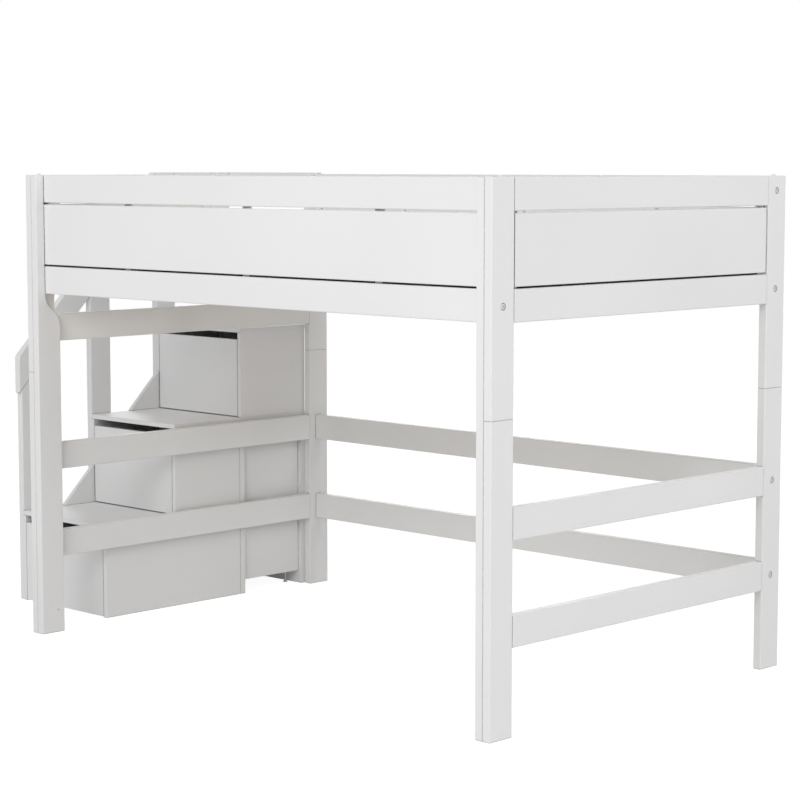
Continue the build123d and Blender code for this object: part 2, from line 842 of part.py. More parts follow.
def drawer_box(k):
    """Two sides, a back and a bottom board as separate pieces."""
    y = span(step_y[k] + step_board, drawer_length(k))
    bottom_z = span(step_z[k] + drawer_base_z, drawer_bottom)
    side_z = span(bottom_z[1], drawer_side_height)
    inside_x = (body_x[0] + drawer_board, body_x[1] - drawer_board)
    return [
        board_along_y(span(body_x[0], drawer_board), y, side_z, 0),
        board_along_y((inside_x[1], body_x[1]), y, side_z, 0),
        board_along_x(inside_x, (y[1] - drawer_board, y[1]), side_z, 0),
        board_along_x(body_x, y, bottom_z, 0),
    ]


def channel(web_x, opening, height, depth, y, z):
    """A steel channel along Y, its web at web_x and its flanges pointing along opening."""
    outer = (web_x, web_x + opening * depth)
    hollow = (web_x + opening * runner_wall, web_x + opening * (depth + runner_wall))
    with BuildPart() as rail:
        with BuildSketch(Plane.XZ.offset(-y[0])):
            rectangle((min(outer), max(outer)), about(z, height))
            with Locations((middle(hollow), z)):
                Rectangle(depth, height - 2 * runner_wall, mode=Mode.SUBTRACT)
        extrude(amount=y[0] - y[1])
    return rail.part


slide_height = runner_height - 2 * (runner_wall + runner_slack)
runner_channels = []
for k in range(3):
    run_y = (step_y[k] + step_board + runner_setback, step_y[k] + step_board + drawer_length(k))
    run_z = step_z[k] + runner_level
    runner_channels.append(channel(step_inner_x[0], 1, runner_height, runner_depth, run_y, run_z))
    runner_channels.append(channel(step_inner_x[1], -1, runner_height, runner_depth, run_y, run_z))
    save(f"drawer_{k + 1}_front", drawer_front(k))
    save(f"drawer_{k + 1}_box", *drawer_box(k))
    save(
        f"drawer_{k + 1}_slides",
        channel(body_x[0], -1, slide_height, runner_depth, run_y, run_z),
        channel(body_x[1], 1, slide_height, runner_depth, run_y, run_z),
    )
save("runner_channels", *runner_channels)
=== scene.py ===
"""A white lacquered loft bed with a staircase of drawers: finishes, fittings, light and camera."""

import logging
import math
from dataclasses import dataclass
from enum import Enum
from functools import cached_property

import bmesh
import bpy
from mathutils import Matrix, Vector


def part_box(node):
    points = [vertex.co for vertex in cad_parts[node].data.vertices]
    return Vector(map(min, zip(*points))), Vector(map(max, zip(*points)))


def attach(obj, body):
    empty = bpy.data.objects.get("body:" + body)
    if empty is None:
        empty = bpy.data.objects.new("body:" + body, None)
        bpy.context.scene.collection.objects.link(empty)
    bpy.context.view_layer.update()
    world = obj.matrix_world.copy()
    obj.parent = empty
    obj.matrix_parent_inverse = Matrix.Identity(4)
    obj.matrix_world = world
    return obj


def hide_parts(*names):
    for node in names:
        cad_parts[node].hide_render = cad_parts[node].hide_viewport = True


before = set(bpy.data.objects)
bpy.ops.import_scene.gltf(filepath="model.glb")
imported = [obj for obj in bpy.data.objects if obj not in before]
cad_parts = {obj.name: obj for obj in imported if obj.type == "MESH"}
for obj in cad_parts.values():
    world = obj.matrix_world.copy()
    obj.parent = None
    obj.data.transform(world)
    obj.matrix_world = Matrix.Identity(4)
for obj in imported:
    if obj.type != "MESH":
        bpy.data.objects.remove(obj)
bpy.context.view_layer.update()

log = logging.getLogger("loft_bed")
Node = bpy.types.Node
Socket = bpy.types.NodeSocket
Tree = bpy.types.NodeTree
Point = tuple[float, float, float]
Colour = tuple[float, float, float]
Rgba = tuple[float, float, float, float]
Span = tuple[float, float]
WHITE = (1.0, 1.0, 1.0, 1.0)
NOISE_MIDDLE = (0.3, 0.7)


class Grain(Enum):
    """Which way the grain of a board runs, as the stretch of its pattern along X, Y and Z."""

    ALONG_X = (0.05, 1.0, 1.0)
    ALONG_Y = (1.0, 0.05, 1.0)
    ALONG_Z = (1.0, 1.0, 0.05)
    EVEN = (1.0, 1.0, 1.0)


class NodeSheet:
    """Adds nodes to a tree and wires them in one call."""

    def __init__(self, tree: Tree) -> None:
        """Keeps the tree that the nodes go into."""
        self.tree = tree

    def feed(self, node: Node, **links: object) -> None:
        """Fills or wires the inputs of a node.

        Args:
            node: The node.
            links: Input names, with spaces as underscores, or in_ and the input's number,
                each with its value or the output socket that feeds it.
        """
        for key, value in links.items():
            name = key.replace("_", " ")
            socket = node.inputs[int(name[3:]) if name.startswith("in ") else name]
            if isinstance(value, Socket):
                self.tree.links.new(value, socket)
            else:
                socket.default_value = value

    def add(self, kind: str, settings: dict[str, object] | None = None, **links: object) -> Node:
        """Adds a node, sets its properties, and fills or wires its inputs.

        Args:
            kind: The node's type name.
            settings: Properties of the node itself.
            links: Its inputs, as in feed.

        Returns:
            The new node.
        """
        node = self.tree.nodes.new(kind)
        for key, value in (settings or {}).items():
            setattr(node, key, value)
        self.feed(node, **links)
        return node

    def group(self, tree: Tree, **links: object) -> Node:
        """Places a shared group and gives its node."""
        return self.add("ShaderNodeGroup", {"node_tree": tree}, **links)

    def math(self, operation: str, *numbers: object) -> Socket:
        """Works out one number from others, which are values or sockets."""
        links = {f"in_{k}": number for k, number in enumerate(numbers)}
        return self.add("ShaderNodeMath", {"operation": operation}, **links).outputs[0]

    def mix(self, share: object, a: object, b: object) -> Socket:
        """Blends colour a into colour b. Sockets 6, 7 and output 2 are the colours of the node."""
        node = self.add("ShaderNodeMix", {"data_type": "RGBA"}, in_0=share, in_6=a, in_7=b)
        return node.outputs[2]

    def ramp(self, value: Socket, limits: Span) -> Socket:
        """Stretches a value so that the first limit becomes 0 and the second 1."""
        start, end = limits
        return self.add("ShaderNodeMapRange", Value=value, From_Min=start, From_Max=end).outputs[0]

    def place(self) -> Socket:
        """Gives the point on the object itself."""
        return self.add("ShaderNodeTexCoord").outputs["Object"]

    def product(self, operation: str, a: object, b: object) -> Node:
        """Multiplies two vectors, axis by axis or into their dot product."""
        return self.add("ShaderNodeVectorMath", {"operation": operation}, in_0=a, in_1=b)

    def stretched(self, stretch: object) -> Socket:
        """Gives the point on the object, stretched along X, Y and Z."""
        return self.product("MULTIPLY", self.place(), stretch).outputs[0]

    def noise(self, point: Socket, scale: object, detail: float, **links: float) -> Socket:
        """Reads a cloudy noise at a point."""
        node = self.add("ShaderNodeTexNoise", Vector=point, Scale=scale, Detail=detail, **links)
        return node.outputs[0]

    def bump(self, height: Socket, depth: float, normal: Socket) -> Socket:
        """Raises a surface by a value, on top of a normal that it has."""
        links = {"Strength": 1.0, "Distance": depth, "Height": height, "Normal": normal}
        return self.add("ShaderNodeBump", **links).outputs[0]

    def background_rays(self) -> Socket:
        """Picks out the rays that show the background.

        Returns:
            A number that is 1 on those rays, and 0 on the rays that light the object.
        """
        path = self.add("ShaderNodeLightPath")
        seen = self.math("MAXIMUM", path.outputs["Is Camera Ray"], path.outputs["Is Glossy Ray"])
        return self.math("MAXIMUM", seen, path.outputs["Is Transmission Ray"])


class Effects:
    """The node groups that several finishes share, each made once."""

    RAY_SAMPLES = 6
    EDGE_TURN = (0.01, 0.25)
    OPEN_TO_CLOSED = (0.88, 0.5)
    SHADE_PATCHES = (0.1, 0.5)
    FIBRES_PER_FIGURE = 6.0
    FIBRE_ROUGHNESS = 0.65
    FIGURE_SWIRL = 0.8
    CLOUD_SCALE = 160.0

    def start(
        self, name: str, inputs: dict[str, object], outputs: tuple[str, ...]
    ) -> tuple[NodeSheet, Node, Node]:
        """Makes an empty group with named sockets.

        Args:
            name: The group's name.
            inputs: Input names with their default values, a number or a vector.
            outputs: Output names. The one called Normal is a vector, the others are numbers.

        Returns:
            The sheet to draw on, the group's input node and its output node.
        """
        tree = bpy.data.node_groups.new(name, "ShaderNodeTree")
        for key, value in inputs.items():
            kind = "NodeSocketVector" if isinstance(value, tuple) else "NodeSocketFloat"
            socket = tree.interface.new_socket(name=key, in_out="INPUT", socket_type=kind)
            socket.default_value = value
        for key in outputs:
            kind = "NodeSocketVector" if key == "Normal" else "NodeSocketFloat"
            tree.interface.new_socket(name=key, in_out="OUTPUT", socket_type=kind)
        sheet = NodeSheet(tree)
        return sheet, sheet.add("NodeGroupInput"), sheet.add("NodeGroupOutput")

    @cached_property
    def rounded_arris(self) -> Tree:
        """Rounds the edges of boards and fittings in the shading.

        Returns:
            A group that gives the normal of an eased edge, and a mask of where the edges are.
        """
        sheet, enter, leave = self.start("rounded_arris", {"Radius": 0.003}, ("Normal", "Edge"))
        settings = {"samples": self.RAY_SAMPLES}
        bevel = sheet.add("ShaderNodeBevel", settings, Radius=enter.outputs["Radius"])
        eased = bevel.outputs["Normal"]
        flat = sheet.add("ShaderNodeNewGeometry").outputs["True Normal"]
        facing = sheet.product("DOT_PRODUCT", eased, flat).outputs["Value"]
        edge = sheet.ramp(sheet.math("SUBTRACT", 1.0, facing), self.EDGE_TURN)
        sheet.feed(leave, Normal=eased, Edge=edge)
        return sheet.tree

    @cached_property
    def joint_shade(self) -> Tree:
        """Paints shade into the colour where two boards meet or a groove runs between them, where
        shade gathers.

        Returns:
            A group that gives a mask of painted shade at the joints, broken up a little by noise.
        """
        inputs = {"Reach": 0.006, "Breakup Scale": 90.0}
        sheet, enter, leave = self.start("joint_shade", inputs, ("Shade",))
        settings = {"samples": self.RAY_SAMPLES}
        reach = enter.outputs["Reach"]
        near = sheet.add("ShaderNodeAmbientOcclusion", settings, Distance=reach).outputs["AO"]
        patches = sheet.noise(sheet.place(), enter.outputs["Breakup Scale"], detail=3.0)
        closed = sheet.ramp(near, self.OPEN_TO_CLOSED)
        # The painted shade is broken up by cloudy noise.
        shade = sheet.math("MULTIPLY", closed, sheet.ramp(patches, self.SHADE_PATCHES))
        sheet.feed(leave, Shade=shade)
        return sheet.tree

    @cached_property
    def board_grain(self) -> Tree:
        """Draws the fibres and the broad figure of a board, stretched along its grain.

        Returns:
            A group that gives both as values.
        """
        inputs = {"Stretch": (1.0, 1.0, 1.0), "Scale": 60.0}
        sheet, enter, leave = self.start("board_grain", inputs, ("Fibre", "Figure"))
        point = sheet.stretched(enter.outputs["Stretch"])
        broad = enter.outputs["Scale"]
        fine = sheet.math("MULTIPLY", broad, self.FIBRES_PER_FIGURE)
        fibre = sheet.noise(point, fine, detail=4.0, Roughness=self.FIBRE_ROUGHNESS)
        figure = sheet.noise(point, broad, detail=3.0, Distortion=self.FIGURE_SWIRL)
        sheet.feed(leave, Fibre=fibre, Figure=figure)
        return sheet.tree

    @cached_property
    def sprayed_film(self) -> Tree:
        """Draws the faint peel of sprayed lacquer, and a slow drift of its tone.

        Returns:
            A group that gives both as values.
        """
        inputs = {"Peel Scale": 420.0, "Drift Scale": 1.6}
        sheet, enter, leave = self.start("sprayed_film", inputs, ("Peel", "Drift"))
        place = sheet.place()
        peel = sheet.noise(place, enter.outputs["Peel Scale"], detail=2.0)
        drift = sheet.noise(place, enter.outputs["Drift Scale"], detail=2.0)
        sheet.feed(leave, Peel=peel, Drift=drift)
        return sheet.tree

    @cached_property
    def rolled_plate(self) -> Tree:
        """Draws the fine lines and cloudy patches of plated steel.

        Returns:
            A group that gives both as values.
        """
        inputs = {"Stretch": (1.0, 1.0, 1.0), "Scale": 900.0}
        sheet, enter, leave = self.start("rolled_plate", inputs, ("Lines", "Clouds"))
        point = sheet.stretched(enter.outputs["Stretch"])
        lines = sheet.noise(point, enter.outputs["Scale"], detail=3.0)
        cells = sheet.add("ShaderNodeTexVoronoi", Vector=sheet.place(), Scale=self.CLOUD_SCALE)
        sheet.feed(leave, Lines=lines, Clouds=cells.outputs["Distance"])
        return sheet.tree


effects = Effects()


def rgba(colour: Colour, times: float = 1.0, plus: float = 0.0, most: float = 1.0) -> Rgba:
    """Makes a lighter or darker version of a colour, with the alpha that sockets take.

    Args:
        colour: The colour.
        times: What each channel is multiplied by.
        plus: What is then added to it.
        most: The brightest that it may be.

    Returns:
        The colour with an alpha of 1.
    """
    red, green, blue = (min(channel * times + plus, most) for channel in colour)
    return red, green, blue, 1.0


def clear_sheet(owner: bpy.types.Material | bpy.types.World) -> NodeSheet:
    """Empties the node tree of a material or world.

    Args:
        owner: The material or world.

    Returns:
        The sheet to draw its nodes on.
    """
    owner.use_nodes = True
    owner.node_tree.nodes.clear()
    return NodeSheet(owner.node_tree)


def blank_material(name: str, grain: Grain) -> tuple[bpy.types.Material, NodeSheet, Node]:
    """Makes a material that holds only a Principled shader.

    Args:
        name: The finish's name.
        grain: Which way its pattern runs, which is added to the name.

    Returns:
        The material, its sheet and its shader node.
    """
    material = bpy.data.materials.new(f"{name}_{grain.name.lower()}")
    sheet = clear_sheet(material)
    shader = sheet.add("ShaderNodeBsdfPrincipled")
    sheet.add("ShaderNodeOutputMaterial", Surface=shader.outputs[0])
    return material, sheet, shader


@dataclass(frozen=True)
class Lacquer:
    """White satin lacquer on a board. Depths, the arris and the joint reach are in metres."""

    name: str
    colour: Colour
    roughness: float = 0.38
    roughness_span: float = 0.08
    specular: float = 0.4
    arris: float = 0.003
    grain_scale: float = 55.0
    grain_depth: float = 0.00006
    peel_depth: float = 0.00002
    drift_tone: float = 0.965
    edge_highlight_tone: float = 1.02
    highlight_brightest: float = 0.95
    joint_reach: float = 0.004
    joint_tone: float = 0.45

    def build(self, grain: Grain) -> bpy.types.Material:
        """Makes the material for boards with this grain.

        Args:
            grain: Which way the boards run.

        Returns:
            The material.
        """
        material, sheet, shader = blank_material(self.name, grain)
        edge = sheet.group(effects.rounded_arris, Radius=self.arris)
        wood = sheet.group(effects.board_grain, Stretch=grain.value, Scale=self.grain_scale)
        film = sheet.group(effects.sprayed_film)
        joint = sheet.group(effects.joint_shade, Reach=self.joint_reach)
        drift = sheet.ramp(film.outputs["Drift"], NOISE_MIDDLE)
        tone = sheet.mix(drift, rgba(self.colour, self.drift_tone), rgba(self.colour))
        # Painted highlight: the base colour is lightened along the rounded edges.
        painted_edge_highlight = rgba(self.colour, self.edge_highlight_tone, most=self.highlight_brightest)
        eased = sheet.mix(edge.outputs["Edge"], tone, painted_edge_highlight)
        # Painted shade: the base colour darkens where ambient occlusion finds joints and grooves
        # closed in.
        shaded = sheet.mix(joint.outputs["Shade"], eased, rgba(self.colour, self.joint_tone))
        figure = sheet.ramp(wood.outputs["Figure"], NOISE_MIDDLE)
        grained = sheet.bump(wood.outputs["Fibre"], self.grain_depth, edge.outputs["Normal"])
        sheet.feed(
            shader,
            Base_Color=shaded,
            Roughness=sheet.math("MULTIPLY_ADD", figure, self.roughness_span, self.roughness),
            Normal=sheet.bump(film.outputs["Peel"], self.peel_depth, grained),
            Specular_IOR_Level=self.specular,
        )
        return material


@dataclass(frozen=True)
class BareWood:
    """Planed wood without a finish. The knots are drawn rounder than the grain."""

    name: str
    light: Colour
    dark: Colour
    roughness: float = 0.55
    roughness_span: float = 0.15
    arris: float = 0.0015
    grain_scale: float = 28.0
    ring_count: float = 9.0
    ring_limits: Span = (0.1, 0.9)
    fibre_limits: Span = (0.3, 0.8)
    fibre_share: float = 0.25
    fibre_tone: float = 0.7
    fibre_depth: float = 0.00012
    knots: bool = True
    knot_scale: float = 6.0
    knot_roundness: float = 0.35
    knot_limits: Span = (0.10, 0.03)
    knot_tone: float = 0.32

    def add_knots(self, sheet: NodeSheet, grain: Grain, body: Socket) -> Socket:
        """Adds dark knots to the colour of the wood.

        Args:
            sheet: The material's sheet.
            grain: Which way the boards run.
            body: The colour without knots.

        Returns:
            The colour with knots.
        """
        base = self.knot_roundness
        stretch = tuple(base + (1 - base) * along for along in grain.value)
        point = sheet.stretched(stretch)
        spots = sheet.add("ShaderNodeTexVoronoi", Vector=point, Scale=self.knot_scale)
        knot = sheet.ramp(spots.outputs["Distance"], self.knot_limits)
        return sheet.mix(knot, body, rgba(self.dark, self.knot_tone))

    def build(self, grain: Grain) -> bpy.types.Material:
        """Makes the material for boards with this grain.

        Args:
            grain: Which way the boards run.

        Returns:
            The material.
        """
        material, sheet, shader = blank_material(self.name, grain)
        edge = sheet.group(effects.rounded_arris, Radius=self.arris)
        wood = sheet.group(effects.board_grain, Stretch=grain.value, Scale=self.grain_scale)
        figure = sheet.math("MULTIPLY", wood.outputs["Figure"], self.ring_count)
        rings = sheet.ramp(sheet.math("PINGPONG", figure, 1.0), self.ring_limits)
        fibre = sheet.ramp(wood.outputs["Fibre"], self.fibre_limits)
        body = sheet.mix(rings, rgba(self.light), rgba(self.dark))
        share = sheet.math("MULTIPLY", fibre, self.fibre_share)
        body = sheet.mix(share, body, rgba(self.dark, self.fibre_tone))
        if self.knots:
            body = self.add_knots(sheet, grain, body)
        sheet.feed(
            shader,
            Base_Color=body,
            Roughness=sheet.math("MULTIPLY_ADD", fibre, self.roughness_span, self.roughness),
            Normal=sheet.bump(wood.outputs["Fibre"], self.fibre_depth, edge.outputs["Normal"]),
        )
        return material


@dataclass(frozen=True)
class PlatedSteel:
    """Zinc plated steel."""

    name: str
    colour: Colour
    roughness: float
    roughness_span: float = 0.16
    metallic: float = 1.0
    arris: float = 0.0006
    cloud_limits: Span = (0.1, 0.7)
    cloud_tone: float = 0.86
    edge_highlight_tone: float = 1.25
    highlight_lift: float = 0.05
    highlight_brightest: float = 0.9
    line_depth: float = 0.00001

    def build(self, grain: Grain) -> bpy.types.Material:
        """Makes the material, its rolling lines along the grain.

        Args:
            grain: Which way the steel was rolled.

        Returns:
            The material.
        """
        material, sheet, shader = blank_material(self.name, grain)
        edge = sheet.group(effects.rounded_arris, Radius=self.arris)
        plate = sheet.group(effects.rolled_plate, Stretch=grain.value)
        clouds = sheet.ramp(plate.outputs["Clouds"], self.cloud_limits)
        tone = sheet.mix(clouds, rgba(self.colour), rgba(self.colour, self.cloud_tone))
        # Painted highlight: the base colour is lightened along the rounded edges.
        bright = rgba(self.colour, self.edge_highlight_tone, self.highlight_lift, self.highlight_brightest)
        lines = sheet.ramp(plate.outputs["Lines"], NOISE_MIDDLE)
        sheet.feed(
            shader,
            Base_Color=sheet.mix(edge.outputs["Edge"], tone, bright),
            Metallic=self.metallic,
            Roughness=sheet.math("MULTIPLY_ADD", lines, self.roughness_span, self.roughness),
            Normal=sheet.bump(plate.outputs["Lines"], self.line_depth, edge.outputs["Normal"]),
        )
        return material


@dataclass(frozen=True)
class MouldedPlastic:
    """Satin moulded plastic, or a matt black that stands in for shade."""

    name: str
    colour: Colour
    roughness: float = 0.42
    roughness_span: float = 0.12
    arris: float = 0.0008
    peel_scale: float = 1500.0
    peel_depth: float = 0.00003
    drift_tone: float = 0.95

    def build(self, grain: Grain) -> bpy.types.Material:
        """Makes the material.

        Args:
            grain: Part of the name alone, so that all finishes build alike.

        Returns:
            The material.
        """
        material, sheet, shader = blank_material(self.name, grain)
        edge = sheet.group(effects.rounded_arris, Radius=self.arris)
        film = sheet.group(effects.sprayed_film, Peel_Scale=self.peel_scale)
        drift, peel = film.outputs["Drift"], film.outputs["Peel"]
        sheet.feed(
            shader,
            Base_Color=sheet.mix(drift, rgba(self.colour, self.drift_tone), rgba(self.colour)),
            Roughness=sheet.math("MULTIPLY_ADD", peel, self.roughness_span, self.roughness),
            Normal=sheet.bump(peel, self.peel_depth, edge.outputs["Normal"]),
        )
        return material


Finish = Lacquer | BareWood | PlatedSteel | MouldedPlastic

FRAME_LACQUER = Lacquer("frame_lacquer", (0.80, 0.80, 0.80))
PANEL_LACQUER = Lacquer("panel_lacquer", (0.80, 0.80, 0.80), roughness=0.36, grain_depth=0.00003)
STAIR_LACQUER = Lacquer(
    "stair_lacquer", (0.79, 0.79, 0.79), roughness=0.42, arris=0.002, grain_depth=0.0
)
DRAWER_FOIL = Lacquer(
    "drawer_foil",
    (0.74, 0.74, 0.73),
    roughness=0.5,
    arris=0.001,
    grain_depth=0.0,
    peel_depth=0.00003,
)
PINE = BareWood("bare_pine", (0.74, 0.61, 0.43), (0.64, 0.48, 0.30))
BEECH = BareWood("bare_beech", (0.62, 0.42, 0.26), (0.50, 0.31, 0.18), knots=False)
ZINC = PlatedSteel("zinc_plate", (0.60, 0.61, 0.62), roughness=0.34)
RUNNER_ZINC = PlatedSteel("runner_zinc", (0.62, 0.63, 0.65), roughness=0.30)
FOOT_ZINC = PlatedSteel("foot_zinc", (0.50, 0.50, 0.51), roughness=0.38)
PLUG_PLASTIC = MouldedPlastic("plug_plastic", (0.80, 0.80, 0.79))
# Matt black for the strips that stand in for the shade under the guard panels.
SHADOW_BLACK = MouldedPlastic("painted_shadow_black", (0.022, 0.022, 0.024), roughness=0.85)


class FinishShelf:
    """Keeps each finish that has been made, by name and grain."""

    def __init__(self) -> None:
        """Starts empty."""
        self.made: dict[tuple[str, Grain], bpy.types.Material] = {}

    def get(self, finish: Finish, grain: Grain) -> bpy.types.Material:
        """Gives the material for a finish and grain, making it the first time.

        Args:
            finish: The finish.
            grain: Which way the pattern runs.

        Returns:
            The material.
        """
        key = (finish.name, grain)
        if key not in self.made:
            self.made[key] = finish.build(grain)
        return self.made[key]


shelf = FinishShelf()


@dataclass(frozen=True)
class BoardGroup:
    """CAD nodes that share a finish and a direction."""

    finish: Finish
    grain: Grain
    nodes: tuple[str, ...]

    def dress(self) -> None:
        """Gives every node of the group its material, in all its slots."""
        material = shelf.get(self.finish, self.grain)
        for node in self.nodes:
            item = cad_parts[node]
            if not item.data.materials:
                item.data.materials.append(material)
            for slot in item.material_slots:
                slot.material = material
            log.info("finish %s on %s", material.name, node)


def stand(
    name: str, data: bpy.types.ID, at: Point, ahead: Vector | None = None
) -> bpy.types.Object:
    """Puts an object in the scene.

    Args:
        name: Its name.
        data: Its mesh, lamp or camera.
        at: Its place.
        ahead: Which way a lamp or camera looks, or None to leave the object as it is.

    Returns:
        The object.
    """
    item = bpy.data.objects.new(name, data)
    item.location = at
    if ahead is not None:
        item.rotation_mode = "QUATERNION"
        item.rotation_quaternion = ahead.to_track_quat("-Z", "Y")
    bpy.context.scene.collection.objects.link(item)
    return item


def circle(centre: Point, radius: float, points: int) -> list[Point]:
    """Points round a circle that lies level.

    Args:
        centre: Its centre.
        radius: Its radius.
        points: How many points.

    Returns:
        The points.
    """
    x, y, z = centre
    turns = [2 * math.pi * k / points for k in range(points)]
    return [(x + radius * math.cos(turn), y + radius * math.sin(turn), z) for turn in turns]


def hexagon(centre: Point, across_flats: float, points: int) -> list[Point]:
    """Points round a level hexagon, spaced so that they pair with those of a circle.

    Args:
        centre: Its centre.
        across_flats: Its width between two flats.
        points: How many points, a multiple of six.

    Returns:
        The points.
    """
    x, y, z = centre
    found = []
    for k in range(points):
        turn = 2 * math.pi * k / points
        from_flat = (turn + math.pi / 6) % (math.pi / 3) - math.pi / 6
        reach = across_flats / 2 / math.cos(from_flat)
        found.append((x + reach * math.cos(turn), y + reach * math.sin(turn), z))
    return found


class MeshMaker:
    """Collects closed forms and turns them into one piece that rides on a body."""

    THREAD_POINTS = 24
    SHARP_FROM = math.radians(35)

    def __init__(self, name: str) -> None:
        """Starts an empty mesh for the piece of this name."""
        self.name = name
        self.mesh = bmesh.new()

    def skin(self, rings: list[list[Point]], place: Matrix = Matrix.Identity(4)) -> None:
        """Joins rings of the same count into a closed skin, with a cap on both ends.

        Args:
            rings: The rings, in order.
            place: Where the finished form goes.
        """
        rows = [[self.mesh.verts.new(place @ Vector(point)) for point in ring] for ring in rings]
        count = len(rows[0])
        for low, high in zip(rows, rows[1:]):
            for k in range(count):
                after = (k + 1) % count
                self.mesh.faces.new((low[k], low[after], high[after], high[k]))
        self.mesh.faces.new(list(reversed(rows[0])))
        self.mesh.faces.new(rows[-1])

    def thread(
        self, centre: Point, radius: float, depth: float, pitch: float, length: float
    ) -> None:
        """Cuts a screw thread on a stud, as one rising helix of crests and roots.

        Args:
            centre: Middle of the stud's lower end.
            radius: Outer radius of the thread.
            depth: How deep the thread is.
            pitch: Rise in one turn.
            length: Length of the stud.
        """
        points = self.THREAD_POINTS
        rows = []
        for level in range(int(2 * length / pitch)):
            ring = circle(centre, radius - depth * (level % 2), points)
            rise = [level * pitch / 2 + pitch * k / points for k in range(points)]
            rows.append([self.mesh.verts.new((x, y, z + up)) for (x, y, z), up in zip(ring, rise)])
        for level, (low, high) in enumerate(zip(rows, rows[1:])):
            for k in range(points - 1):
                self.mesh.faces.new((low[k], low[k + 1], high[k + 1], high[k]))
            if level + 3 < len(rows):
                after, above = rows[level + 2], rows[level + 3]
                self.mesh.faces.new((low[-1], after[0], above[0], high[-1]))

    def slab(self, low: Point, high: Point, arris: float) -> None:
        """Makes a board between two corners with its edges rounded.

        Args:
            low: Its lowest corner.
            high: Its highest corner.
            arris: Radius of the rounding.
        """
        middle = [(a + b) / 2 for a, b in zip(low, high)]
        size = [b - a for a, b in zip(low, high)]
        scale = Matrix.Translation(middle) @ Matrix.Diagonal((*size, 1.0))
        made = bmesh.ops.create_cube(self.mesh, size=1.0, matrix=scale)
        edges = list({edge for vert in made["verts"] for edge in vert.link_edges})
        bmesh.ops.bevel(
            self.mesh, geom=edges, offset=arris, segments=2, affect="EDGES", profile=0.5
        )

    def finish(self, body: str, slot: str, finish: Finish, replaces: str | None = None) -> None:
        """Closes the mesh, gives it its material and hangs it on its body.

        Args:
            body: The body that it rides on.
            slot: The record's material slot; it is not used.
            finish: Its finish.
            replaces: The CAD node that it stands for, or None.
        """
        bmesh.ops.recalc_face_normals(self.mesh, faces=self.mesh.faces)
        data = bpy.data.meshes.new(self.name)
        self.mesh.to_mesh(data)
        self.mesh.free()
        data.materials.append(shelf.get(finish, Grain.EVEN))
        data.shade_smooth()
        data.set_sharp_from_angle(angle=self.SHARP_FROM)
        piece = stand(self.name, data, (0.0, 0.0, 0.0))
        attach(piece, body)
        if replaces:
            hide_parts(replaces)
        log.info("piece %s with %d faces", self.name, len(data.polygons))


@dataclass
class SubAssembly:
    """Pieces that belong together: CAD boards to dress, and finer pieces to build."""

    boards: tuple[BoardGroup, ...] = ()

    def build(self) -> None:
        """Builds the finer pieces, where there are any."""

    def dress(self) -> None:
        """Gives the CAD boards their finishes, then builds the finer pieces."""
        for group in self.boards:
            group.dress()
        self.build()


